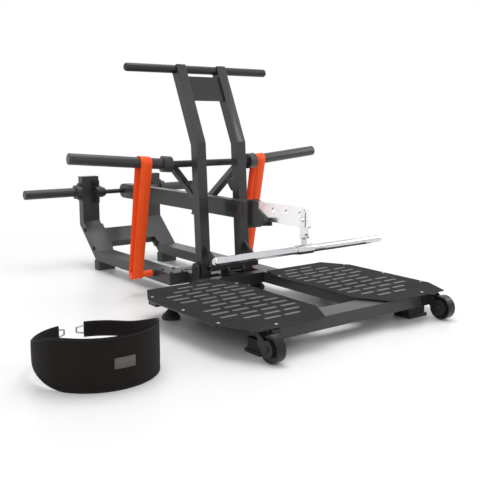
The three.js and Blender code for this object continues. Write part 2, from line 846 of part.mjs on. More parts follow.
for (const [side, s] of sides) {
  const sheet = prism('z', deckOutline.map(([x, y]) => [s * x, y]), deckLow, deckTop);
  const padLow = frameTop + gap;
  const padTop = deckLow + deckThick / 2;
  const alongPad = block(s * deckInnerRear, s * sideBeamOuter, deckRearY, frontBeamRear,
    padLow, padTop);
  const acrossPad = block(s * deckMidFront, s * (frontBeamHalf - overrun), frontBeamRear,
    frontBeamFront + overrun, padLow, padTop);
  const slots = slotPlaces.map(([x, y]) => prism('z', [
    ...arc(s * x + slotRun, y, slotWide / 2, -90, 90, capSteps),
    ...arc(s * x - slotRun, y, slotWide / 2, 90, 270, capSteps),
  ], deckTop - slotDeep, deckTop + overrun));
  add(`platform_plate_${side}`, cut(join(sheet, alongPad, acrossPad), ...slots), black);

  const inset = outerRailInset;
  const railEnd = (y, more) => [s * (sideX(y) - inset - more), y];
  const outerRail = prism('z', [
    railEnd(outerRailRearY, 0),
    railEnd(outerRailFrontY, 0),
    railEnd(outerRailFrontY, outerRailWide),
    railEnd(outerRailRearY, outerRailWide),
  ], outerRailLow, deckLow - gap);
  const crossEnd = sideX(crossRailY) - inset;
  const crossRail = block(s * crossRailInner, s * (crossEnd - outerRailWide),
    crossRailY - crossRailWide, crossRailY + crossRailWide / 2,
    deckLow - gap - crossRailTall, deckLow - gap);
  const shelf = block(s * crossRailInner, s * (crossEnd - outerRailWide / 2),
    deckSideRearY - crossRailWide, crossRailY - crossRailWide / 2, outerRailLow, deckLow - gap);
  const crossHollow = block(s * (crossRailInner - overrun), s * (crossEnd - outerRailWide - wall),
    crossRailY - crossRailWide + wall, crossRailY + crossRailWide / 2 - wall,
    deckLow - gap - crossRailTall + wall, deckLow - gap - wall);
  add(`platform_edge_rail_${side}`, cut(join(outerRail, crossRail, shelf), crossHollow), powder);
}

// Feet
function padFoot(x0, x1, y0, y1) {
  const cup = block(x0, x1, y0, y1, 0, frameBottom - gap);
  const lip = block(Math.min(x0, x1) - footLip, Math.max(x0, x1) + footLip, Math.min(y0, y1) - footLip,
    Math.max(y0, y1) + footLip, 0, footLipTall);
  return join(cup, lip);
}
for (const [side, s] of sides) {
  add(`front_foot_${side}`, padFoot(s * frontFootInner, s * (frontFootInner + frontFootLong),
    frontFootY - frontFootDeep / 2, frontFootY + frontFootDeep / 2), rubber);
  add(`rear_foot_${side}`, block(s * railInner, s * railOuter, rearFootY - rearFootDeep / 2,
    rearFootY + rearFootDeep / 2, 0, frameBottom - gap), rubber);
}

function levellingFoot(x, y, top) {
  return turned([
    [0, 0],
    [levelRadius, 0],
    [levelRadius, levelPad],
    [levelNeck, levelCone],
    [levelNeck, top],
    [0, top],
  ], [x, y, 0], [0, 0, 1]);
}
for (const [side, s] of sides) {
  add(`levelling_foot_${side}`, levellingFoot(s * levelX, crossRailY - crossRailWide / 4,
    deckLow - gap - crossRailTall - gap), rubber);
}
add('neck_foot_left', levellingFoot(-beamFootX, beamFootY, frameBottom - gap), rubber);
add('neck_foot_right', levellingFoot(neckFootX, neckFootY, frameBottom - gap), rubber);

// Transport wheels in forks on the front beam
const wheelZ = wheelRadius + wheelFloorGap;
const wheelHalf = wheelWide / 2;
const forkInner = wheelHalf + forkClear;
for (const [side, s] of sides) {
  const centre = s * wheelX;
  const backFace = frontBeamFront - gap;
  const backPlate = block(s * forkReachX, s * (wheelX + forkInner + forkThick),
    backFace - forkBack, backFace, frameBottom + overrun, frameTop - overrun);
  const arms = [-1, 1].map((hand) => {
    const near = centre + hand * forkInner;
    const far = centre + hand * (forkInner + forkThick);
    return prism('x', [
      [backFace, frameBottom + overrun],
      [backFace, frameTop - overrun],
      [backFace - forkBack, frameTop - overrun],
      ...arc(wheelY, wheelZ, forkArm, forkFromAngle, forkToAngle, capSteps * 3),
    ], near, far);
  });
  const clearWheel = rod([centre - forkInner, wheelY, wheelZ], [centre + forkInner, wheelY, wheelZ],
    wheelRadius + forkClear);
  const axle = rod([centre - forkInner - forkThick - forkClear, wheelY, wheelZ],
    [centre + forkInner + forkThick + forkClear, wheelY, wheelZ], axleRadius, smallSides);
  const heads = [-1, 1].map((hand) => boltAt(
    [centre + hand * (forkInner + forkThick), wheelY, wheelZ], [hand, 0, 0], boltHeadRadius,
    badgeBoltHead));
  add(`wheel_fork_${side}`, join(cut(join(backPlate, ...arms), clearWheel), axle, ...heads), black);

  const wheelAt = [centre, wheelY, wheelZ];
  const hub = turned([
    [axleRadius + gap, -wheelHalf],
    [axleRadius * 2, -wheelHalf],
    [axleRadius * 2, -wheelHalf / 2],
    [wheelRim - wall, -wheelHalf / 2],
    [wheelRim - wall, -wheelHalf + wall],
    [wheelRim, -wheelHalf + wall],
    [wheelRim, wheelHalf - wall],
    [wheelRim - wall, wheelHalf - wall],
    [wheelRim - wall, wheelHalf / 2],
    [axleRadius * 2, wheelHalf / 2],
    [axleRadius * 2, wheelHalf],
    [axleRadius + gap, wheelHalf],
    [axleRadius + gap, -wheelHalf],
  ], wheelAt, [1, 0, 0]);
  const tread = turned([
    [wheelRim - wall / 2, -wheelHalf + wall],
    [wheelRadius - wall, -wheelHalf],
    [wheelRadius, -wheelHalf + wall],
    [wheelRadius, wheelHalf - wall],
    [wheelRadius - wall, wheelHalf],
    [wheelRim - wall / 2, wheelHalf - wall],
    [wheelRim - wall / 2, -wheelHalf + wall],
  ], wheelAt, [1, 0, 0]);
  add(`wheel_${side}`, join(hub, tread), tyre);
}

// Lever arm
const arm = new THREE.Group();
machine.add(arm);

const beamHalf = beamWide / 2;
const beamTube = boxTube(-beamHalf, beamHalf, beamFront, pivotY, beamBottom, beamTop, 'y');
const hubRing = cut(
  rod([-hubHalf, pivotY, pivotZ], [hubHalf, pivotY, pivotZ], hubRadius),
  rod([-hubHalf - overrun, pivotY, pivotZ], [hubHalf + overrun, pivotY, pivotZ], shaftRadius + gap),
);
const hubCore = rod([-beamWide, pivotY, pivotZ], [beamWide, pivotY, pivotZ], hubRadius - wall / 2);
add('lever_beam', join(cut(beamTube, hubCore), hubRing), powder, arm);

const shaftHalf = bearingInner + bearingWide + overrun;
add('pivot_shaft', rod([-shaftHalf, pivotY, pivotZ], [shaftHalf, pivotY, pivotZ], shaftRadius),
  black, arm);

// the sleeves leave the crossbar's ends swept back and up
function sleeveLine(s, x) {
  const out = x - collarStart;
  return [
    s * x,
    crossbarY + out * Math.tan(rad(sleeveSweep)),
    crossbarZ + out * Math.tan(rad(sleeveRise)),
  ];
}
const sleeveAlong = (s) => [s, Math.tan(rad(sleeveSweep)), Math.tan(rad(sleeveRise))];
const sleeveStretch = Math.hypot(...sleeveAlong(1));

const crossbarFull = rod([-collarStart - overrun, crossbarY, crossbarZ],
  [collarStart + overrun, crossbarY, crossbarZ], crossbarRadius);
const crossbarEnds = sides.map(([, s]) => turned([
  [0, -gap],
  [collarRadius, -gap],
  [collarRadius, collarLength],
  [0, collarLength],
], sleeveLine(s, collarStart), sleeveAlong(s)));
add('crossbar', cut(crossbarFull, ...crossbarEnds), powder, arm);

const sleeveLength = (sleeveEnd - collarStart) * sleeveStretch;
for (const [side, s] of sides) {
  const outside = turned([
    [0, 0],
    [collarRadius, 0],
    [collarRadius, collarLength],
    [sleeveRadius, collarLength],
    [sleeveRadius, sleeveLength - sleeveRound],
    [sleeveRadius - sleeveRound, sleeveLength],
    [0, sleeveLength],
  ], sleeveLine(s, collarStart), sleeveAlong(s));
  const hollow = turned([
    [0, collarLength],
    [sleeveRadius - sleeveWall, collarLength],
    [sleeveRadius - sleeveWall, sleeveLength - sleeveWall],
    [0, sleeveLength - sleeveWall],
  ], sleeveLine(s, collarStart), sleeveAlong(s));
  const [x, y, z] = sleeveLine(s, sleeveEnd - collarLength);
  const weep = rod([x, y, z - sleeveRadius - overrun], [x, y, z], weepRadius, boltSides);
  add(`sleeve_${side}`, cut(outside, hollow, weep), powder, arm);
}

// V braces from the beam's sides up to the crossbar
const crossbarCutter = rod([-collarStart, crossbarY, crossbarZ], [collarStart, crossbarY, crossbarZ],
  crossbarRadius + gap);
const beamCutter = block(-beamHalf - gap, beamHalf + gap, beamFront, pivotY, beamBottom - flatTube,
  beamTop + gap);
for (const [side, s] of sides) {
  const foot = new THREE.Vector3(s * beamHalf, braceFootY, braceFootZ);
  const top = new THREE.Vector3(s * braceTopX, braceTopY, crossbarZ);
  const along = top.clone().sub(foot);
  const length = along.length();
  const back = new THREE.Vector3(0, 1, 0);
  const across = new THREE.Vector3().crossVectors(along, back).normalize();
  const deep = new THREE.Vector3().crossVectors(along, across).normalize();
  const bar = (less, more) => {
    const shape = new THREE.BoxGeometry(braceWide - less, braceDeep - less, length + more);
    shape.applyMatrix4(new THREE.Matrix4().makeBasis(across, deep, along.clone().normalize()));
    shape.translate(...foot.clone().add(top).multiplyScalar(1 / 2).toArray());
    return solid(shape);
  };
  const tube = cut(bar(0, 0), bar(2 * wall, overrun));
  add(`brace_${side}`, cut(tube, beamCutter, crossbarCutter), powder, arm);
}

// Front bracket: a bolted flange with two cheeks that hold the extension plate
const flangeRear = beamFront - gap;
const flangeFront = flangeRear - flangeThick;
const flangeBody = block(-flangeWide / 2, flangeWide / 2, flangeFront, flangeRear, flangeLow, flangeHigh);
const flangeHeads = [-1, 1].flatMap((s) => [flangeLow + boltHeadRadius, flangeHigh - boltHeadRadius]
  .map((z) => boltAt([s * (flangeWide / 2 - boltHeadRadius), flangeFront, z], [0, -1, 0],
    badgeBoltRadius, badgeBoltHead)));
const cheekOutline = [
  [flangeFront + wall, cheekBottom],
  [flangeFront + wall, cheekTop],
  [-cheekNose, cheekTop],
  [-cheekNose, cheekStepZ],
  [-cheekToe, cheekToeZ],
  [pinY - pinBossRadius, pinZ + pinBossRadius],
  [pinY - pinBossRadius, pinZ - pinBossRadius],
];
const shortCheekOutline = [
  [flangeFront + wall, cheekBottom],
  [flangeFront + wall, cheekTop],
  [-cheekNose, cheekTop],
  [-cheekNose, cheekBottom],
];
const leftCheek = prism('x', cheekOutline, -cheekInner, -cheekOuter);
const rightCheek = prism('x', shortCheekOutline, cheekInner, cheekOuter);
const pinBoss = rod([-cheekInner, pinY, pinZ], [-cheekOuter - overrun, pinY, pinZ], pinBossRadius);
const pinBore = rod([-flatTube, pinY, pinZ], [flatTube, pinY, pinZ], pinRadius + gap, smallSides);
add('front_bracket', cut(join(flangeBody, ...flangeHeads, leftCheek, rightCheek, pinBoss),
  pinBore), black, arm);

const bladeBack = flangeFront - gap;
const bladeOutline = [
  [bladeBack, bladeBottom],
  [bladeBack, bladeTop],
  ...arc(bladeEnd + bladeRound, bladeTop - bladeRound, bladeRound, 90, 180, capSteps),
  ...arc(bladeEnd + bladeRound, bladeBottom + bladeRound, bladeRound, 180, 270, capSteps),
];
const bladeHoles = Array.from({ length: bladeHoleCount }, (_, i) => {
  const y = bladeHoleFirst - bladeHolePitch * i;
  return rod([-bladeThick, y, bladeHoleZ], [bladeThick, y, bladeHoleZ], bladeHoleRadius, smallSides);
});
const hangerBore = rod([-bladeThick, hangerY, hangerZ], [bladeThick, hangerY, hangerZ],
  hangerPinRadius + gap, smallSides);
const bladeHalf = bladeThick / 2;
add('extension_plate', cut(prism('x', bladeOutline, -bladeHalf, bladeHalf), ...bladeHoles,
  hangerBore, pinBore), chrome, arm);

// Lock pin through the left cheek and the plate, with its knob on the left
const pinKnobFace = cheekOuter + overrun + gap;
add('lock_pin', turned([
  [0, 0],
  [pinKnobRadius - sleeveRound, 0],
  [pinKnobRadius, sleeveRound],
  [pinKnobRadius, pinKnobLength],
  [pinRadius, pinKnobLength],
  [pinRadius, pinKnobLength + pinKnobFace + cheekInner],
  [0, pinKnobLength + pinKnobFace + cheekInner],
], [-pinKnobFace - pinKnobLength, pinY, pinZ], [1, 0, 0]), black, arm);

// Hanger: two straps on a pin through the plate, with a second pin below
const strapInner = bladeHalf + strapClear;
const strapOuter = strapInner + strapThick;
const strapHalf = strapWide / 2;
const strapOutline = [
  ...arc(hangerY, strapTop - strapHalf, strapHalf, 0, 180, capSteps * 2),
  ...arc(hangerY, hangerLowZ, strapHalf, 180, 360, capSteps * 2),
];
const pinSpan = (z, inner, outer, radius) => rod([inner, hangerY, z], [outer, hangerY, z], radius,
  smallSides);
for (const [side, s] of sides) {
  const strap = prism('x', strapOutline, s * strapInner, s * strapOuter);
  const bores = [hangerZ, hangerLowZ].map((z) => pinSpan(z, -flatTube, flatTube, hangerPinRadius + gap));
  add(`hanger_strap_${side}`, cut(strap, ...bores), chrome, arm);
}
for (const [name, z] of [['hanger_pin', hangerZ], ['swivel_pin', hangerLowZ]]) {
  const pinEnd = strapOuter + gap + hangerNut;
  const heads = [-1, 1].map((s) => pinSpan(z, s * (strapOuter + gap), s * pinEnd, hangerNutRadius));
  add(name, join(pinSpan(z, -pinEnd, pinEnd, hangerPinRadius), ...heads), chrome, arm);
}

// Chrome bar in its clamp, which hangs on the lower pin by an eye
const clampTopZ = barZ + clampRadius - 2 * gap;
const clampBody = rod([-clampHalf, hangerY, barZ], [clampHalf, hangerY, barZ], clampRadius);
const eyeHalf = lugEyeThick / 2;
const clampEye = prism('x', [
  ...arc(hangerY, hangerLowZ, strapHalf, 0, 180, capSteps * 2),
  [hangerY - strapHalf, clampTopZ - clampRadius / 2],
  [hangerY + strapHalf, clampTopZ - clampRadius / 2],
], -eyeHalf, eyeHalf);
const clampBore = rod([-flatTube, hangerY, barZ], [flatTube, hangerY, barZ], barRadius + gap);
const eyeBore = rod([-flatTube, hangerY, hangerLowZ], [flatTube, hangerY, hangerLowZ],
  hangerPinRadius + gap, smallSides);
add('bar_clamp', cut(join(clampBody, clampEye), clampBore, eyeBore), chrome, arm);

const barRound = barRadius / 2;
add('chrome_bar', turned([
  [0, -barHalf],
  ...arc(barRadius - barRound, barRound - barHalf, barRound, -90, 0, capSteps),
  ...arc(barRadius - barRound, barHalf - barRound, barRound, 0, 90, capSteps),
  [0, barHalf],
], [0, hangerY, barZ], [1, 0, 0]), chrome, arm);

// Stretch bands: each a flat loop round a sleeve and a peg
// a loop round two circles, as points from the tangent on the first to the tangent on the second
function loopAround([ya, za], [yb, zb], ra, rb) {
  const length = Math.hypot(yb - ya, zb - za);
  const heading = Math.atan2(zb - za, yb - ya);
  const lean = Math.acos((ra - rb) / length);
  const around = (y, z, r, from, to) => Array.from({ length: bandArcSteps + 1 }, (_, i) => {
    const angle = from + (to - from) * i / bandArcSteps;
    return [y + r * Math.cos(angle), z + r * Math.sin(angle)];
  });
  const full = 2 * Math.PI;
  return [
    ...around(ya, za, ra, heading + lean, heading - lean + full),
    ...around(yb, zb, rb, heading - lean, heading + lean),
  ];
}

function bandLoop(centre) {
  const s = Math.sign(centre);
  const rings = [centre - bandWide / 2, centre + bandWide / 2].flatMap((x) => {
    const [, y, z] = sleeveLine(s, Math.abs(x));
    const over = [y, z];
    const under = [pegY, pegZ];
    const inner = loopAround(over, under, sleeveRadius + bandClear, pegRadius + bandClear);
    const outer = loopAround(over, under, sleeveRadius + bandClear + bandThick,
      pegRadius + bandClear + bandThick);
    return [inner, outer].map((ring) => ring.map(([a, b]) => [x, a, b]));
  });
  const [innerA, outerA, innerB, outerB] = rings;
  const count = innerA.length;
  const places = [innerA, outerA, innerB, outerB].flat(2);
  const index = [];
  const quad = (a, b, c, d) => index.push(a, b, c, a, c, d);
  for (let i = 0; i < count; i += 1) {
    const j = (i + 1) % count;
    quad(count + i, 3 * count + i, 3 * count + j, count + j);
    quad(i, j, 2 * count + j, 2 * count + i);
    quad(i, count + i, count + j, j);
    quad(2 * count + i, 2 * count + j, 3 * count + j, 3 * count + i);
  }
  const geometry = new THREE.BufferGeometry();
  geometry.setAttribute('position', new THREE.Float32BufferAttribute(places, 3));
  geometry.setIndex(index);
  return geometry;
}

add('band_left', solid(bandLoop(bandLeftX)), bandRubber);
add('band_right', solid(bandLoop(bandRightX)), bandRubber);

// Hip belt: a band bent to a ring, tall at the front and tapered to its two ends
const beltMidZ = beltTall / 2;
const beltFrontAngle = -90;

function beltHalfTall(away) {
  const share = (Math.abs(away) - beltWideAngle) / (beltTaperAngle - beltWideAngle);
  const eased = (1 - Math.cos(Math.PI * THREE.MathUtils.clamp(share, 0, 1))) / 2;
  return (beltTall + (beltEndTall - beltTall) * eased) / 2;
}

// a point of the belt: degrees away from its front, distance from its middle surface, height
function onBelt(away, out, z) {
  const angle = rad(beltFrontAngle + away);
  return [beltX + (beltRadius + out) * Math.cos(angle), beltY + (beltRadius + out) * Math.sin(angle), z];
}

function beltStrip(from, to, steps, section) {
  const rings = Array.from({ length: steps + 1 }, (_, i) => section(from + (to - from) * i / steps));
  const count = rings[0].length;
  const index = [];
  for (let i = 0; i < steps; i += 1) {
    for (let j = 0; j < count; j += 1) {
      const k = (j + 1) % count;
      const [a, b] = [i * count + j, i * count + k];
      index.push(a, b, b + count, a, b + count, a + count);
    }
  }
  for (let j = 1; j < count - 1; j += 1) {
    index.push(0, j + 1, j);
    index.push(steps * count, steps * count + j, steps * count + j + 1);
  }
  const geometry = new THREE.BufferGeometry();
  geometry.setAttribute('position', new THREE.Float32BufferAttribute(rings.flat(2), 3));
  geometry.setIndex(index);
  return solid(geometry);
}

const beltHalf = beltThick / 2;
const beltPanel = beltStrip(-beltEndAngle, beltEndAngle, beltSteps, (away) => {
  const half = beltHalfTall(away);
  return [
    [-beltHalf, half - beltRound],
    [beltRound - beltHalf, half],
    [beltHalf - beltRound, half],
    [beltHalf, half - beltRound],
    [beltHalf, beltRound - half],
    [beltHalf - beltRound, -half],
    [beltRound - beltHalf, -half],
    [-beltHalf, beltRound - half],
  ].map(([out, up]) => onBelt(away, out, beltMidZ + up));
});

// the bar of each end ring stands in a slot of the belt, and its two arms swing in open slots
const degreesPer = 180 / (Math.PI * beltRadius);
const ringAway = beltEndAngle - ringSlot * degreesPer;
const ringHalf = ringTall / 2;
const ringNarrow = ringHalf / 2;

// a place beside a ring's bar: so far along the belt's tangent, so high and so far outward
function besideBar(sign, along, up, out = 0) {
  const [x, y] = onBelt(sign * ringAway, out, beltMidZ);
  const tangent = rad(beltFrontAngle + sign * ringAway + sign * 90);
  return [x + Math.cos(tangent) * along, y + Math.sin(tangent) * along, beltMidZ + up];
}
// the two arms of a ring, which lean together; back starts them that far behind the bar
function ringArms(sign, out, back = 0) {
  const spread = ringHalf + back * (ringHalf - ringNarrow) / ringLong;
  return [-1, 1].map((end) => [
    besideBar(sign, -back, end * spread, out),
    besideBar(sign, ringLong, end * ringNarrow, out),
  ]);
}
function ringWireLoop(sign) {
  const [[low, farLow], [high, farHigh]] = ringArms(sign, 0);
  const corners = [low, high, farHigh, farLow];
  const links = corners.map((corner, i) => rod(corner, corners[(i + 1) % corners.length], ringWire,
    smallSides));
  const balls = corners.map((corner) => {
    const ball = new THREE.SphereGeometry(ringWire + gap / 2, smallSides, smallSides / 2);
    ball.translate(...corner);
    return solid(ball);
  });
  return join(...links, ...balls);
}
const ringSwing = ringWire + 2 * ringRoom;
const barSlots = [-1, 1].map((sign) => rod(besideBar(sign, 0, -ringHalf - ringWire * 2),
  besideBar(sign, 0, ringHalf + ringWire * 2), ringWire + ringRoom, smallSides));
const armSlots = [-1, 1].flatMap((sign) => [-beltHalf, 0, beltHalf].flatMap((out) => (
  ringArms(sign, out, ringSwing).map(([near, far]) => rod(near, far, ringSwing, smallSides)))));
add('belt_panel', cut(beltPanel, ...barSlots, ...armSlots), nylon);

for (const [side, sign] of sides) {
  add(`belt_ring_${side}`, ringWireLoop(sign), chrome);
}

// The origin lies on the floor, under the middle of the whole set
const bounds = new THREE.Box3().setFromObject(machine);
const middle = bounds.getCenter(new THREE.Vector3());
machine.position.set(-middle.x, -middle.y, -bounds.min.z);
machine.updateMatrixWorld(true);

export default machine;
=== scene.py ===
# %% [markdown]
# Dressing a belt squat machine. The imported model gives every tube, plate and wheel in metres,
# in one frame: X across the machine, Y from the platform to the pivot, Z up from the floor.
# The tubes could be modelled again here, but two models of one thing drift apart. So this
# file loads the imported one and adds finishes, soft pieces, light and a camera round it.

# %% Load the frame
import json
import math

import bmesh
import bpy
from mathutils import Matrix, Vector


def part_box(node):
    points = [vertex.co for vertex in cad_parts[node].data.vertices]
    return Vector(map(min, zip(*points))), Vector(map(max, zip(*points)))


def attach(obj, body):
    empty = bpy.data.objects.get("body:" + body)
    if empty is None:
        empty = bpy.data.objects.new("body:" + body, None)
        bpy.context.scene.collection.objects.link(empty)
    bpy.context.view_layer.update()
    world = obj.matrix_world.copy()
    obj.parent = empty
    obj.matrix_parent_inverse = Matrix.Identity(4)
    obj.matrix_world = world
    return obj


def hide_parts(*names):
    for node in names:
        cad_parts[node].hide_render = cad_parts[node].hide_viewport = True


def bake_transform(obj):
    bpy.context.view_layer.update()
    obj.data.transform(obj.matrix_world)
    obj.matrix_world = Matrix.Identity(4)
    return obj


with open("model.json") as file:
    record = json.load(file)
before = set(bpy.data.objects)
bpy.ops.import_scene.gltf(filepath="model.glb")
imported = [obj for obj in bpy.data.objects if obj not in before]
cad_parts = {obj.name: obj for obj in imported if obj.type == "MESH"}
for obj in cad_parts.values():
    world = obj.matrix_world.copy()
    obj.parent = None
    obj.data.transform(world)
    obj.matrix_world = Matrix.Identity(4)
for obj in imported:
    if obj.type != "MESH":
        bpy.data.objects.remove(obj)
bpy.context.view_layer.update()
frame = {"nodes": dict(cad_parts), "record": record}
nodes = frame["nodes"]
shaft_low, shaft_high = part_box("pivot_shaft")
middle_x = (shaft_low[0] + shaft_high[0]) / 2

# %% [markdown]
# The camera stands low and to the left, as in the photograph. It could be set by eye, but
# then few edges would run as they should. Its lens and place came from fitting straight edges
# of the platform and the uprights, so edges here run the same way.

# %% Camera
LENS = 54.1
SENSOR = 36.0
CAMERA_PLACE = (-1.7307, -2.7898, 0.8215)
CAMERA_TURN = (math.radians(80.5), 0, math.radians(-37.0))

lens_data = bpy.data.cameras.new("camera")
lens_data.lens = LENS
lens_data.sensor_width = SENSOR
camera = bpy.data.objects.new("camera", lens_data)
bpy.context.scene.collection.objects.link(camera)
camera.location = CAMERA_PLACE
camera.rotation_euler = CAMERA_TURN
bpy.context.scene.camera = camera
bpy.context.scene.view_settings.view_transform = "Standard"
print("camera looks along", camera.rotation_euler.to_matrix() @ Vector((0, 0, -1)))

# %% [markdown]
# In Blender a finish is a tree of nodes, mostly joined by hand in the shader editor. A script
# makes the same tree on each run, and reads best as sums. The class below wraps one output of
# a node, so `mask * 0.4 + 0.1` adds the two Math nodes itself. Every other node comes from
# `Shader.node`, which sets a node up and joins its inputs in one go. A shader belongs to a new
# material, or to the world when one is handed in.


# %% Shader sums
class Socket:
    def __init__(self, shader, output):
        self.shader = shader
        self.output = output

    def math(self, operation, first, second):
        return self.shader.node("ShaderNodeMath", {"operation": operation}, {0: first, 1: second})

    def size(self):
        return self.math("ABSOLUTE", self, 0.0)

    def most(self, other):
        return self.math("MAXIMUM", self, other)

    def __add__(self, other):
        return self.math("ADD", self, other)

    def __sub__(self, other):
        return self.math("SUBTRACT", self, other)

    def __rsub__(self, other):
        return self.math("SUBTRACT", other, self)

    def __mul__(self, other):
        return self.math("MULTIPLY", self, other)

    __radd__ = __add__


class Shader:
    def __init__(self, name, owner=None):
        self.material = owner or bpy.data.materials.new(name)
        self.material.use_nodes = True
        self.tree = self.material.node_tree
        self.tree.nodes.clear()

    def node(self, kind, settings=None, inputs=None, output=0):
        made = self.tree.nodes.new(kind)
        for key, value in (settings or {}).items():
            setattr(made, key, value)
        for key, value in (inputs or {}).items():
            if isinstance(value, Socket):
                self.tree.links.new(value.output, made.inputs[key])
            else:
                made.inputs[key].default_value = value
        return Socket(self, made.outputs[output]) if made.outputs else None

    def place(self):
        return self.node("ShaderNodeTexCoord", output="Object")

    def noise(self, size, detail=3.0, rough=0.5):
        return self.node("ShaderNodeTexNoise", {}, {
            "Vector": self.place(), "Scale": 1 / size, "Detail": detail, "Roughness": rough})

    def threads(self, scale, way="Z", **inputs):
        return self.node("ShaderNodeTexWave", {"wave_type": "BANDS", "bands_direction": way}, {
            "Vector": self.place(), "Scale": scale, **inputs})

    def mix(self, share, first, second):
        return self.node("ShaderNodeMix", {"data_type": "RGBA"}, {
            0: share, 6: first, 7: second}, output=2)

    def spread(self, value, low, high, to_low=0.0, to_high=1.0):
        return self.node("ShaderNodeMapRange", {}, {
            "Value": value, "From Min": low, "From Max": high,
            "To Min": to_low, "To Max": to_high})

    def bump(self, height, distance, strength):
        return self.node("ShaderNodeBump", {}, {
            "Height": height, "Distance": distance, "Strength": strength})

    def axis(self, letter):
        return self.node("ShaderNodeSeparateXYZ", {}, {0: self.place()}, output=letter)

    def finish(self, **sockets):
        names = {name.replace("_", " "): value for name, value in sockets.items()}
        surface = self.node("ShaderNodeBsdfPrincipled", {}, names)
        self.node("ShaderNodeOutputMaterial", {}, {"Surface": surface})
        return self.material


def rgb(red, green, blue):
    return (red, green, blue, 1.0)


def shaded(color, times, plus=0.0):
    return rgb(*[c * times + plus for c in color[:3]])


print("shader helpers:", Socket.__name__, Shader.__name__, rgb.__name__, shaded.__name__)

# %% [markdown]
# Powder coat is paint that melted into a skin: an even colour, a satin shine and a faint
# orange-peel ripple a millimetre or two across. One flat value for each would do on a small
# piece, but long tubes then look like plastic, so a soft cloud goes into colour and shine.
# The coat's edges are rubbed paler in patches: there the normal of a wide bevel leans away
# from the true one. The rear frames also carry the band pegs, whose stems are orange. Peg
# and frame are one solid, so that coat turns orange far enough from the machine's middle.

# %% Powder coats
NOISE_MIDDLE = (0.3, 0.7)
PEEL = 0.0025
PEEL_HIGH = 0.00012
CLOUD = 0.16
CLOUD_RANGE = (0.35, 0.65)
CLOUD_DARK = 0.9
CLOUD_PALE = 1.1
CLOUD_SHINE = 0.05
EDGE_LEAN = (0.995, 0.86)
WORN_WIDE = 0.004
WORN_PATCH = 0.012
WORN_RANGE = (0.48, 0.66)
WORN_SHARE = 0.5
PEG_BLUR = 0.0004


def powder_coat(name, color, worn, shine, peg_from=None):
    s = Shader(name)
    cloud = s.noise(CLOUD)
    peel = s.noise(PEEL, detail=2.0)
    bevel = s.node("ShaderNodeBevel", {"samples": 4}, {"Radius": WORN_WIDE})
    true_normal = s.node("ShaderNodeNewGeometry", output="Normal")
    facing = s.node("ShaderNodeVectorMath", {"operation": "DOT_PRODUCT"}, {
        0: bevel, 1: true_normal}, output="Value")
    edge = s.spread(facing, *EDGE_LEAN)
    scuffed = edge * s.spread(s.noise(WORN_PATCH, detail=4.0), *WORN_RANGE)
    shade = s.mix(s.spread(cloud, *CLOUD_RANGE), shaded(color, CLOUD_DARK),
                  shaded(color, CLOUD_PALE))
    skin = s.mix(scuffed * WORN_SHARE, shade, worn)
    if peg_from:
        out = (s.axis("X") - middle_x).size()
        on_peg = s.spread(out, peg_from - PEG_BLUR, peg_from + PEG_BLUR)
        skin = s.mix(on_peg, skin, BAND_ORANGE)
    return s.finish(
        Base_Color=skin,
        Roughness=shine + s.spread(cloud, *NOISE_MIDDLE, -CLOUD_SHINE, CLOUD_SHINE),
        Normal=s.bump(peel, PEEL_HIGH, strength=0.5),
        Specular_IOR_Level=0.32,
        Coat_Weight=0.1,
        Coat_Roughness=0.2,
    )


BAND_ORANGE = rgb(0.97, 0.098, 0.014)
PEG_STEM_FROM = 0.270
GREY = rgb(0.034, 0.035, 0.037)
WORN_GREY = rgb(0.12, 0.12, 0.125)
GREY_SHINE = 0.36
BLACK = rgb(0.014, 0.014, 0.0155)
WORN_BLACK = rgb(0.06, 0.06, 0.062)
BLACK_SHINE = 0.4
grey_coat = powder_coat("grey_powder_coat", GREY, WORN_GREY, GREY_SHINE)
pegged_coat = powder_coat("grey_coat_with_peg", GREY, WORN_GREY, GREY_SHINE, PEG_STEM_FROM)
black_coat = powder_coat("black_powder_coat", BLACK, WORN_BLACK, BLACK_SHINE)
print("coats:", grey_coat.name, pegged_coat.name, black_coat.name)

# %% [markdown]
# The bar, its clamp and the hanger are chrome: a mirror with a fine smear from wiping. The
# bar's chrome, also used on its clamp, is the darker of the two. Its colour is dimmed as a
# painted reflection, standing in for the grey reflections along the bar. The long plate is
# polished steel, which mirrors less sharply, and the deck screws and the belt's rings are plain
# dull steel. Four trees of nodes would say the same thing four times, so one function makes
# all four metals from a colour, a range of roughness and the size of the smear.

# %% Bright metals
SMEAR_DARK = 0.94


def bright_metal(name, color, low, high, grain):
    s = Shader(name)
    smear = s.noise(grain, detail=4.0, rough=0.6)
    return s.finish(
        Base_Color=s.mix(s.spread(smear, *NOISE_MIDDLE), shaded(color, SMEAR_DARK), color),
        Metallic=1.0,
        Roughness=s.spread(smear, *NOISE_MIDDLE, low, high),
    )


chrome = bright_metal("chrome", rgb(0.82, 0.84, 0.86), low=0.05, high=0.14, grain=0.03)
# The bar's chrome is darker than the other chrome as a painted reflection: its dimmed colour stands
# in for grey reflections along the bar.
bar_chrome_painted_dark = bright_metal("bar_chrome_painted_dark", rgb(0.62, 0.63, 0.645), low=0.04, high=0.1, grain=0.03)
screw_steel = bright_metal("screw_steel", rgb(0.36, 0.365, 0.37), low=0.3, high=0.45, grain=0.01)
polished = bright_metal("polished_steel", rgb(0.975, 0.98, 0.985), low=0.22, high=0.32, grain=0.02)
print("metals:", chrome.name, bar_chrome_painted_dark.name, screw_steel.name, polished.name)

# %% [markdown]
# Feet are moulded rubber: nearly black, dull, with a fine grain. A picture of rubber could be
# wrapped round them, but noise needs no unwrapping and shows no seam. Dust settles on it in
# patches, so a wide noise makes the colour paler there and the shine duller.

# %% Rubber
GRAIN = 0.0018
GRAIN_HIGH = 0.0002
DUST = 0.05
DUST_RANGE = (0.45, 0.75)
DUST_SHARE = 0.25
DUST_TIMES = 2.2
DUST_PLUS = 0.01
DUST_DULLS = 0.08


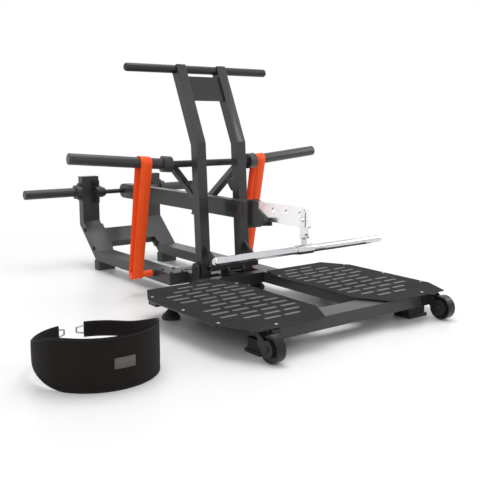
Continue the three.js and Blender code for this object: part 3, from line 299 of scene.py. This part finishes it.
def rubber_finish(name, color, rough):
    s = Shader(name)
    grain = s.noise(GRAIN)
    dust = s.spread(s.noise(DUST, detail=4.0), *DUST_RANGE)
    return s.finish(
        Base_Color=s.mix(dust * DUST_SHARE, color, shaded(color, DUST_TIMES, DUST_PLUS)),
        Roughness=rough + dust * DUST_DULLS,
        Normal=s.bump(grain, GRAIN_HIGH, strength=0.5),
    )


rubber = rubber_finish("foot_rubber", rgb(0.016, 0.016, 0.017), rough=0.72)
grey_rubber = rubber_finish("grey_foot_rubber", rgb(0.045, 0.045, 0.046), rough=0.66)
print("rubbers:", rubber.name, grey_rubber.name)

# %% [markdown]
# A transport wheel has a plastic centre inside a rubber tread. They could be two solids, but
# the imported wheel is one. So the shader tells them apart by their distance from the axle,
# worked out from the wheel's box, with a narrow blur at the border between them.

# %% Wheels
RIM = 0.031
RIM_BLUR = 0.0006
CENTRE_COLOR = rgb(0.05, 0.051, 0.053)
TREAD_COLOR = rgb(0.007, 0.007, 0.007)
CENTRE_ROUGH = 0.36
TREAD_SMOOTHER = 0.14
WHEEL_GRAIN = 0.0016
WHEEL_GRAIN_HIGH = 0.00015


def wheel_finish(name, node):
    low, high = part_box(node)
    axle = [(a + b) / 2 for a, b in zip(low, high)]
    s = Shader(name)
    apart = s.axis("Y") - axle[1]
    up = s.axis("Z") - axle[2]
    square = apart * apart + up * up
    tread = s.spread(square, (RIM - RIM_BLUR) ** 2, (RIM + RIM_BLUR) ** 2)
    return s.finish(
        Base_Color=s.mix(tread, CENTRE_COLOR, TREAD_COLOR),
        Roughness=CENTRE_ROUGH - tread * TREAD_SMOOTHER,
        Specular_IOR_Level=0.28,
        Normal=s.bump(s.noise(WHEEL_GRAIN), WHEEL_GRAIN_HIGH, strength=0.4),
    )


wheels = {name: wheel_finish(name + "_finish", name) for name in ("wheel_left", "wheel_right")}
print("wheel finishes:", len(wheels))

# %% [markdown]
# The standing plates are a black rubbery mat bonded on grey sheet. Slots are cut through the
# mat alone, so their floors show the sheet. Those faces could take a second material, but the
# plate is one solid with one finish. So the shader finds the slots' floors by height, with a
# short fade that leaves the slots' walls black.

# %% Deck mat
SLOT_FLOOR = 0.1121
FLOOR_NEAR = 0.0002
FLOOR_FAR = 0.0005
MAT_COLORS = (rgb(0.016, 0.016, 0.0165), rgb(0.024, 0.024, 0.025))
MAT_CLOUD = 0.11
MAT_CLOUD_RANGE = (0.35, 0.7)
MAT_ROUGH = 0.88
SHEET_COLORS = (rgb(0.15, 0.15, 0.15), rgb(0.18, 0.18, 0.18))
SHEET_CLOUD = 0.03
SHEET_SMOOTHER = 0.3
GRIT = 0.0022
GRIT_HIGH = 0.0002


def deck_finish():
    s = Shader("deck_mat")
    floor_share = s.spread((s.axis("Z") - SLOT_FLOOR).size(), FLOOR_FAR, FLOOR_NEAR)
    mat = s.mix(s.spread(s.noise(MAT_CLOUD, detail=4.0), *MAT_CLOUD_RANGE), *MAT_COLORS)
    sheet = s.mix(s.spread(s.noise(SHEET_CLOUD), *NOISE_MIDDLE), *SHEET_COLORS)
    return s.finish(
        Base_Color=s.mix(floor_share, mat, sheet),
        Roughness=MAT_ROUGH - floor_share * SHEET_SMOOTHER,
        Specular_IOR_Level=0.15,
        Normal=s.bump(s.noise(GRIT), GRIT_HIGH, strength=0.45),
    )


deck_mat = deck_finish()
print("slot floors at", SLOT_FLOOR)

# %% [markdown]
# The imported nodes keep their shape. Each takes a finish by its record slot, or its own one
# where it has any. Rolled tube and cut plate never have knife edges. The CAD could round
# them, at the cost of many small faces in its files. Here a Bevel modifier does it, after a
# Weld modifier has joined doubled points. The mat's slots are under a millimetre deep, so
# its edges are rounded least.

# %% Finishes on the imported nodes
slot_finish = {
    "powder": grey_coat,
    "black": black_coat,
    "polished": polished,
    "chrome": chrome,
    "rubber": rubber,
    "tyre": rubber,
    "band": rubber,
    "nylon": rubber,
}
own_finish = {
    "rear_frame_left": pegged_coat,
    "rear_frame_right": pegged_coat,
    "platform_plate_left": deck_mat,
    "platform_plate_right": deck_mat,
    "front_bracket": grey_coat,
    # The bar and its clamp take the chrome that is dimmed as a painted reflection.
    "chrome_bar": bar_chrome_painted_dark,
    "bar_clamp": bar_chrome_painted_dark,
    "belt_ring_left": screw_steel,
    "belt_ring_right": screw_steel,
    "rear_foot_left": grey_rubber,
    "rear_foot_right": grey_rubber,
    **wheels,
}
EDGE_ROUND = {"powder": 0.0025, "black": 0.0015, "polished": 0.001, "rubber": 0.002}
MAT_EDGE = 0.0003
WELD_WITHIN = 0.00001
SHARP = math.radians(38)

node_slot = {part["node"]: part["material_slot"] for part in frame["record"]["subparts"]}
for name, node in nodes.items():
    slot = node_slot[name]
    look = own_finish.get(name, slot_finish[slot])
    for place in node.material_slots:
        place.material = look
    weld = node.modifiers.new("weld", "WELD")
    weld.merge_threshold = WELD_WITHIN
    if slot in EDGE_ROUND:
        bevel = node.modifiers.new("edges", "BEVEL")
        bevel.width = MAT_EDGE if look is deck_mat else EDGE_ROUND[slot]
        bevel.segments = 2
        bevel.limit_method = "ANGLE"
        bevel.angle_limit = SHARP
        bevel.use_clamp_overlap = True
print("finished nodes:", len(nodes))

# %% [markdown]
# The bands, the belt and the small trim are made from rings of points joined by faces. They
# could be curves with a bevel, but a curve keeps one section all along, and most of these
# pieces change theirs. One helper takes rows of points and closes them into a solid, either
# into a loop or with a cap at each end.


# %% Solid from rings
def piece_from_rings(name, rings, material, body, closed=False):
    mesh = bpy.data.meshes.new(name)
    shape = bmesh.new()
    rows = [[shape.verts.new(point) for point in ring] for ring in rings]
    count = len(rows[0])
    steps = len(rows) if closed else len(rows) - 1
    for i in range(steps):
        here, after = rows[i], rows[(i + 1) % len(rows)]
        for j in range(count):
            k = (j + 1) % count
            shape.faces.new((here[j], here[k], after[k], after[j]))
    if not closed:
        shape.faces.new(rows[0][::-1])
        shape.faces.new(rows[-1])
    bmesh.ops.recalc_face_normals(shape, faces=shape.faces)
    for face in shape.faces:
        face.smooth = True
    shape.to_mesh(mesh)
    shape.free()
    mesh.materials.append(material)
    piece = bpy.data.objects.new(name, mesh)
    bpy.context.scene.collection.objects.link(piece)
    if body:
        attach(piece, body)
    print(name, "has", len(mesh.polygons), "faces")
    return piece


# %% [markdown]
# A stretch band is moulded latex, coloured right through. Light goes a little way into it, so
# a plain orange would look like paint. A touch of subsurface scattering lets the light in,
# and a paler bloom lies on the skin in patches and dulls it.

# %% Band latex
BLOOM = 0.03
BLOOM_RANGE = (0.4, 0.7)
BLOOM_COLOR = rgb(0.96, 0.13, 0.03)
BLOOM_SHARE = 0.3
BLOOM_DULLS = 0.12
LATEX_ROUGH = 0.5
LATEX_GRAIN = 0.0012
LATEX_GRAIN_HIGH = 0.0001
s = Shader("band_latex")
bloom = s.spread(s.noise(BLOOM, detail=4.0), *BLOOM_RANGE)
band_latex = s.finish(
    Base_Color=s.mix(bloom * BLOOM_SHARE, BAND_ORANGE, BLOOM_COLOR),
    Roughness=LATEX_ROUGH + bloom * BLOOM_DULLS,
    Specular_IOR_Level=0.2,
    Subsurface_Weight=0.08,
    Subsurface_Radius=(0.006, 0.002, 0.001),
    Normal=s.bump(s.noise(LATEX_GRAIN), LATEX_GRAIN_HIGH, strength=0.35),
)
print("latex:", band_latex.name)

# %% [markdown]
# The band hangs over the sleeve and is hooked under a peg on the rail. Seen from the side its
# path is that of a drive belt: two circles and the two straight lines that touch both. It
# could be drawn by hand, but this formula keeps it on the metal when a size changes. The
# sleeve leans outward and back, so each edge of the band has its own top circle. Extra points
# are added along the straight runs.

# %% Band path
SLEEVE_FROM = 0.222
SLEEVE_BACK = math.tan(math.radians(5.8))
SLEEVE_RISE = math.tan(math.radians(4.6))
LONG_RUN = 0.1
crossbar_low, crossbar_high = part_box("crossbar")
crossbar_middle = (Vector(crossbar_low) + Vector(crossbar_high)) / 2


def on_sleeve(x):
    out = abs(x - middle_x) - SLEEVE_FROM
    return Vector((x, crossbar_middle.y + out * SLEEVE_BACK, crossbar_middle.z + out * SLEEVE_RISE))


def loop_points(top, bottom, top_radius, bottom_radius, steps):
    """Places and outward directions round two circles, seen from the side."""
    reach = bottom - top
    heading = math.atan2(reach.z, reach.y)
    lean = math.acos((top_radius - bottom_radius) / reach.length)
    points = []
    for centre, radius, first, last in (
            (top, top_radius, heading + lean, heading - lean + 2 * math.pi),
            (bottom, bottom_radius, heading - lean, heading + lean)):
        for i in range(steps + 1):
            angle = first + (last - first) * i / steps
            out = Vector((0, math.cos(angle), math.sin(angle)))
            points.append((centre + out * radius, out))
    return points


def straight_runs(points, extra):
    """Adds points along the two straight runs."""
    filled = []
    for i, (place, out) in enumerate(points):
        filled.append((place, out))
        after, out_after = points[(i + 1) % len(points)]
        if (after - place).length > LONG_RUN:
            for j in range(1, extra):
                share = j / extra
                filled.append((place.lerp(after, share), out.lerp(out_after, share).normalized()))
    return filled


print("crossbar's middle", [round(v, 3) for v in crossbar_middle])

# %% [markdown]
# A real band is one flat loop of even thickness. Here a flat section with cut corners is
# carried along the path, and the last section joins the first. The loop is rigid and is
# attached to no body.

# %% Bands
BAND_THICK = 0.004
BAND_EDGE = 0.0012
BAND_STEPS = 24
RUN_POINTS = 12
SLEEVE_RADIUS = 0.025
PEG_RADIUS = 0.015
PEG_Y = 0.1725
SLACK = 0.0012


def band_section(a, out_a, b, out_b):
    """One flat section from edge a to edge b, with its four corners cut."""
    side_way = (b - a).normalized()
    ring = []
    for share, level in ((0, 0), (0, 1), (1, 1), (1, 0)):
        place = a.lerp(b, share)
        out = out_a.lerp(out_b, share)
        inward = side_way * (BAND_EDGE if share == 0 else -BAND_EDGE)
        step = BAND_THICK * level
        near = BAND_EDGE if level == 0 else -BAND_EDGE
        first = place + out * step + inward
        second = place + out * (step + near)
        ring.extend([first, second] if share == level else [second, first])
    return ring


def make_band(name):
    low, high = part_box(name)
    top_radius = SLEEVE_RADIUS + SLACK
    peg_radius = PEG_RADIUS + SLACK
    tops = [on_sleeve(x) for x in (low[0], high[0])]
    bottoms = [Vector((x, PEG_Y, low[2] + peg_radius + BAND_THICK)) for x in (low[0], high[0])]
    edges = [straight_runs(loop_points(top, bottom, top_radius, peg_radius, BAND_STEPS), RUN_POINTS)
             for top, bottom in zip(tops, bottoms)]
    rings = [band_section(*first, *second) for first, second in zip(*edges)]
    band = piece_from_rings(name + "_latex", rings, band_latex, None, closed=True)
    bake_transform(band)
    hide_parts(name)


for side in ("left", "right"):
    make_band("band_" + side)

# %% [markdown]
# The belt is covered in black woven cloth, with a ribbed tape along its edges. Threads could
# be real geometry, but they would be thousands of faces that no one sees from here. Two waves
# of bands that cross each other give the weave, and one wave gives the tape's ribs. Both are
# dull, with a little sheen where fibres stand up.

# %% Belt cloth
CLOTH_THREADS = 320.0
CROSS_THREADS = 200.0
WEAVE_SHARE = 0.6
CROSS_SHARE = 0.4
THREAD_HIGH = 0.0003
NAP = 0.04
NAP_RANGE = (0.35, 0.7)
THREAD_SHADE = 0.5
NAP_SHADE = 0.3
CLOTH_COLORS = (rgb(0.006, 0.0045, 0.004), rgb(0.013, 0.0105, 0.009))
s = Shader("belt_cloth")
weave = s.threads(CLOTH_THREADS, Distortion=1.2, Detail=1.0)
cross = s.threads(CROSS_THREADS, "DIAGONAL", Distortion=1.0, Detail=1.0)
threads = weave * WEAVE_SHARE + cross * CROSS_SHARE
nap = s.spread(s.noise(NAP, detail=4.0), *NAP_RANGE)
belt_cloth = s.finish(
    Base_Color=s.mix(threads * THREAD_SHADE + nap * NAP_SHADE, *CLOTH_COLORS),
    Roughness=0.9,
    Specular_IOR_Level=0.2,
    Sheen_Weight=0.03,
    Sheen_Roughness=0.5,
    Normal=s.bump(threads, THREAD_HIGH, strength=0.5),
)

TAPE_RIBS = 420.0
RIB_HIGH = 0.0002
TAPE_COLORS = (rgb(0.008, 0.0065, 0.006), rgb(0.016, 0.014, 0.013))
s = Shader("belt_tape")
rib = s.threads(TAPE_RIBS, Distortion=0.6)
belt_tape = s.finish(
    Base_Color=s.mix(rib, *TAPE_COLORS),
    Roughness=0.8,
    Specular_IOR_Level=0.2,
    Sheen_Weight=0.03,
    Normal=s.bump(rib, RIB_HIGH, strength=0.4),
)
print("cloths:", belt_cloth.name, belt_tape.name)

# %% [markdown]
# The hip belt stands on its lower edge, bent nearly into a ring. It could be dropped there as
# simulated cloth, but foam this thick keeps its own bend, so it follows a plain arc. It is
# tall at the front, where it carries the hips, and a cosine eases it down to the two ends
# that each hold a ring.

# %% Belt shape
BELT_X = -0.7319
BELT_RADIUS = 0.204
BELT_THICK = 0.010
BELT_END_TALL = 0.056
WIDE_ANGLE = 50
TAPER_ANGLE = 130
END_ANGLE = 166.5
FRONT = math.radians(-90)
belt_low, belt_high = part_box("belt_panel")
BELT_TALL = belt_high[2] - belt_low[2]
belt_centre = Vector((BELT_X, belt_low[1] + BELT_RADIUS + BELT_THICK / 2, BELT_TALL / 2))


def half_tall(away):
    share = (abs(away) - WIDE_ANGLE) / (TAPER_ANGLE - WIDE_ANGLE)
    eased = (1 - math.cos(math.pi * min(max(share, 0), 1))) / 2
    return (BELT_TALL + (BELT_END_TALL - BELT_TALL) * eased) / 2


def on_belt(away, out, up):
    angle = FRONT + math.radians(away)
    ray = Vector((math.cos(angle), math.sin(angle), 0))
    return belt_centre + ray * (BELT_RADIUS + out) + Vector((0, 0, up))


print("belt stands", round(BELT_TALL, 3), "tall")

# %% [markdown]
# Inside the belt is a foam core, so its section swells in the middle and thins out to the
# sewn edges. A bevelled box would stay flat there. So the section is worked out at each angle
# of the arc: up the outer face, then down the inner one.

# %% Hip belt
SWELL = 0.0045
EDGE_THICK = 0.0028
CROWN_POWER = 3.2
BELT_STEPS = 120
SECTION_STEPS = 14


def belt_section(away):
    half = half_tall(away)
    ring = []
    for i in range(SECTION_STEPS + 1):
        share = 2 * i / SECTION_STEPS - 1
        crown = 1 - abs(share) ** CROWN_POWER
        ring.append((EDGE_THICK + (SWELL - EDGE_THICK) * crown, half * share))
    outer = [on_belt(away, thick, up) for thick, up in ring]
    inner = [on_belt(away, -thick, up) for thick, up in reversed(ring)]
    return outer + inner


belt_angles = [-END_ANGLE + 2 * END_ANGLE * i / BELT_STEPS for i in range(BELT_STEPS + 1)]
belt = piece_from_rings("hip_belt", [belt_section(a) for a in belt_angles], belt_cloth, "belt")
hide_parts("belt_panel")

# %% [markdown]
# The tape is a narrow strip folded over an edge of the belt and sewn through. One strip runs
# along the top edge and one along the bottom. A darker line in the cloth's finish would be
# quicker, but it would not stand proud of the cloth. So each strip is a shallow trough a
# little wider than the belt's edge, and lies over the cloth on both sides.

# %% Belt tape
TAPE_WIDE = 0.008
TAPE_PROUD = 0.0009
TAPE_LIP = 0.0006
TAPE_CORNER = 0.001
TAPE_TUCK_SHARE = 0.6


def tape_ring(away, edge):
    half = half_tall(away)
    proud = EDGE_THICK + TAPE_PROUD
    tucked = proud * TAPE_TUCK_SHARE
    inside = half - TAPE_WIDE
    turn = half - TAPE_CORNER
    profile = [(proud + TAPE_LIP, inside), (proud, turn), (tucked, half),
               (-tucked, half), (-proud, turn), (-proud - TAPE_LIP, inside)]
    return [on_belt(away, out, edge * up) for out, up in profile]


for edge, label in ((1, "top"), (-1, "bottom")):
    tape = piece_from_rings("belt_tape_" + label, [tape_ring(a, edge) for a in belt_angles],
                            belt_tape, "belt")

# %% [markdown]
# A bare woven patch is sewn to the belt's front. It could be a paler area in the cloth's
# finish, but a sewn patch has an edge that catches light. So it is a thin curved tile with no
# marking, sunk a little into the cloth so that no gap shows behind it.

# %% Belt patch
PATCH_THREADS = 500.0
PATCH_THREAD_HIGH = 0.0002
PATCH_COLORS = (rgb(0.085, 0.07, 0.062), rgb(0.14, 0.12, 0.108))
PATCH_MIDDLE = -1.0
PATCH_HALF = 9.8
PATCH_TALL = 0.035
PATCH_UP = 0.002
PATCH_PROUD = 0.0016
PATCH_SUNK = 0.0002
PATCH_STEPS = 12
s = Shader("patch_cloth")
warp = s.threads(PATCH_THREADS, Distortion=0.5)
patch_cloth = s.finish(
    Base_Color=s.mix(warp, *PATCH_COLORS),
    Roughness=0.75,
    Normal=s.bump(warp, PATCH_THREAD_HIGH, strength=0.5),
)


def patch_ring(away):
    top = PATCH_TALL / 2
    profile = [(0, -top), (PATCH_PROUD, -top), (PATCH_PROUD, top), (0, top)]
    return [on_belt(away, SWELL - PATCH_SUNK + out, PATCH_UP + up) for out, up in profile]


patch_angles = [PATCH_MIDDLE + PATCH_HALF * (2 * i / PATCH_STEPS - 1)
                for i in range(PATCH_STEPS + 1)]
patch = piece_from_rings("belt_patch", [patch_ring(a) for a in patch_angles], patch_cloth, "belt")

# %% [markdown]
# The lever beam carries a thin plate on each side. Both stay bare: satin black, with a narrow
# rim round a field that lies lower. Two flat boxes could stand in for them, but the rim is
# what catches light at this angle. So each plate is four rings: the back, the front's outer
# edge, the rim's inner edge and the field.

# %% Beam plates
LABEL_LONG = 0.150
LABEL_TALL = 0.044
LABEL_THICK = 0.0016
LABEL_START = -0.2275
LABEL_RIM = 0.003
FIELD_HIGH_SHARE = 0.5
FIELD_INSET_SHARE = 1.3
LABEL_CLOUD = 0.02
LABEL_COLORS = (rgb(0.012, 0.012, 0.013), rgb(0.02, 0.02, 0.021))
s = Shader("label_plate")
label_plate = s.finish(
    Base_Color=s.mix(s.noise(LABEL_CLOUD), *LABEL_COLORS),
    Roughness=0.3,
    Coat_Weight=0.2,
)
beam_low, beam_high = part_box("lever_beam")
beam_middle = (beam_low[2] + beam_high[2]) / 2


def label_on(face_x, outward, name):
    rings = []
    for rise, inset in ((0, 0), (LABEL_THICK, 0), (LABEL_THICK, LABEL_RIM),
                        (LABEL_THICK * FIELD_HIGH_SHARE, LABEL_RIM * FIELD_INSET_SHARE)):
        y0, y1 = LABEL_START + inset, LABEL_START + LABEL_LONG - inset
        z0, z1 = beam_middle - LABEL_TALL / 2 + inset, beam_middle + LABEL_TALL / 2 - inset
        x = face_x + outward * rise
        rings.append([(x, y0, z0), (x, y1, z0), (x, y1, z1), (x, y0, z1)])
    plate = piece_from_rings(name, rings, label_plate, "arm")
    for face in plate.data.polygons:
        face.use_smooth = False


label_on(beam_low[0], -1, "beam_plate_left")
label_on(beam_high[0], 1, "beam_plate_right")

# %% [markdown]
# Countersunk screws hold the standing plates to the rails below: three along each outer edge,
# one at the front and one at the inner rear corner. They could be in the CAD, but as ten more
# files for ten small heads. Each is a turned head with a round recess in its top, and its
# places are given as distances from the middle of the machine.

# %% Deck screws
SCREW_PLACES = ((0.544, -0.3095), (0.553, -0.5555), (0.549, -0.7785), (0.394, -0.9115),
                (0.122, -0.3145))
DECK_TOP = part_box("platform_plate_left")[1][2]
SCREW_SIDES = 18
SCREW_PROFILE = ((0.0070, -0.0010), (0.0070, 0.0006), (0.0062, 0.0011), (0.0034, 0.0012),
                 (0.0032, 0.0004))


def screw_head(name, x, y):
    rings = []
    for radius, high in SCREW_PROFILE:
        rings.append([(x + radius * math.cos(2 * math.pi * i / SCREW_SIDES),
                       y + radius * math.sin(2 * math.pi * i / SCREW_SIDES),
                       DECK_TOP + high) for i in range(SCREW_SIDES)])
    head = piece_from_rings(name, rings, screw_steel, "frame")


for side, hand in (("left", -1), ("right", 1)):
    for number, (out, y) in enumerate(SCREW_PLACES, 1):
        screw_head(f"deck_screw_{side}_{number}", middle_x + hand * out, y)

# %% [markdown]
# The machine stands on a white floor before a white world, as on a page. White all round
# would light the dark tubes grey. So the studio is white only to the camera and in
# reflections, and this mask, which is 1 for those rays, serves both the floor and the world.

# %% Rays that see the studio
WHITE = rgb(1, 1, 1)
FULL_LIGHT = 1.0


def seen_share(s):
    seen = s.node("ShaderNodeLightPath", output="Is Camera Ray")
    for ray in ("Is Glossy Ray", "Is Transmission Ray"):
        seen = seen.most(s.node("ShaderNodeLightPath", output=ray))
    return seen


print("rays that see the studio:", "camera, glossy, transmission")

# %% [markdown]
# The floor is a matt sheet. Near the machine it keeps its shadows, which hold the feet to the
# ground. Further out it turns to plain white, so that no horizon shows. A curved backdrop, as
# in a real studio, could do that too, but it shades to grey in its bend.

# %% Floor
FLOOR_HALF = 14.0
FADE_FROM = 1.1
FADE_TO = 2.4
FLOOR_CLOUD = 0.8
FLOOR_COLORS = (rgb(0.87, 0.87, 0.875), rgb(0.89, 0.89, 0.895))
FLOOR_ROUGH = 0.4


def floor_finish():
    s = Shader("studio_floor")
    paint = s.node("ShaderNodeBsdfPrincipled", {}, {
        "Base Color": s.mix(s.noise(FLOOR_CLOUD, detail=2.0), *FLOOR_COLORS),
        "Roughness": FLOOR_ROUGH})
    white = s.node("ShaderNodeEmission", {}, {"Color": WHITE, "Strength": FULL_LIGHT})
    away = s.node("ShaderNodeVectorMath", {"operation": "LENGTH"}, {0: s.place()}, output="Value")
    share = s.spread(away, FADE_FROM, FADE_TO) * seen_share(s)
    mixed = s.node("ShaderNodeMixShader", {}, {0: share, 1: paint, 2: white})
    s.node("ShaderNodeOutputMaterial", {}, {"Surface": mixed})
    return s.material


corners = [(x * FLOOR_HALF, y * FLOOR_HALF, 0) for x, y in ((-1, -1), (1, -1), (1, 1), (-1, 1))]
floor_mesh = bpy.data.meshes.new("floor")
floor_mesh.from_pydata(corners, [], [(0, 1, 2, 3)])
floor_mesh.materials.append(floor_finish())
floor = bpy.data.objects.new("floor", floor_mesh)
bpy.context.scene.collection.objects.link(floor)
print("floor fades from", FADE_FROM, "to", FADE_TO)

# %% [markdown]
# A world is the light from all round. A photographed sky could fill it, but it would bring
# its own colours and reflections. Plain white has two strengths here: a soft one that lights
# the shaded sides of the tubes, and a full one for the rays that see it.

# %% World
FILL = 0.58
world = bpy.data.worlds.new("studio")
bpy.context.scene.world = world
s = Shader("studio", world)
fill, backdrop = [s.node("ShaderNodeBackground", {}, {"Color": WHITE, "Strength": strength})
                  for strength in (FILL, FULL_LIGHT)]
both = s.node("ShaderNodeMixShader", {}, {0: seen_share(s), 1: fill, 2: backdrop})
s.node("ShaderNodeOutputWorld", {}, {"Surface": both})
print("fill light", FILL)

# %% [markdown]
# One large lamp hangs overhead and a smaller one stands on each side, as softboxes do in a
# studio. A sun or a point lamp would draw hard shadows, which the photograph doesn't have.
# Square area lamps spread their light, and the larger the lamp, the softer its shadow.


# %% Lamps
def lamp(name, place, aim, size, power):
    data = bpy.data.lights.new(name, "AREA")
    data.shape = "SQUARE"
    data.size = size
    data.energy = power
    light = bpy.data.objects.new(name, data)
    bpy.context.scene.collection.objects.link(light)
    light.location = place
    light.rotation_euler = (Vector(aim) - Vector(place)).to_track_quat("-Z", "Y").to_euler()
    print(name, power, "W")


lamp("top_lamp", place=(0.4, 0.2, 4.2), aim=(0.2, -0.1, 0), size=3.2, power=115)
lamp("front_lamp", place=(-2.6, -3.4, 2.4), aim=(0, 0, 0.4), size=2.2, power=30)
lamp("right_lamp", place=(3.6, -1.2, 2.2), aim=(0.2, 0, 0.3), size=2.0, power=35)
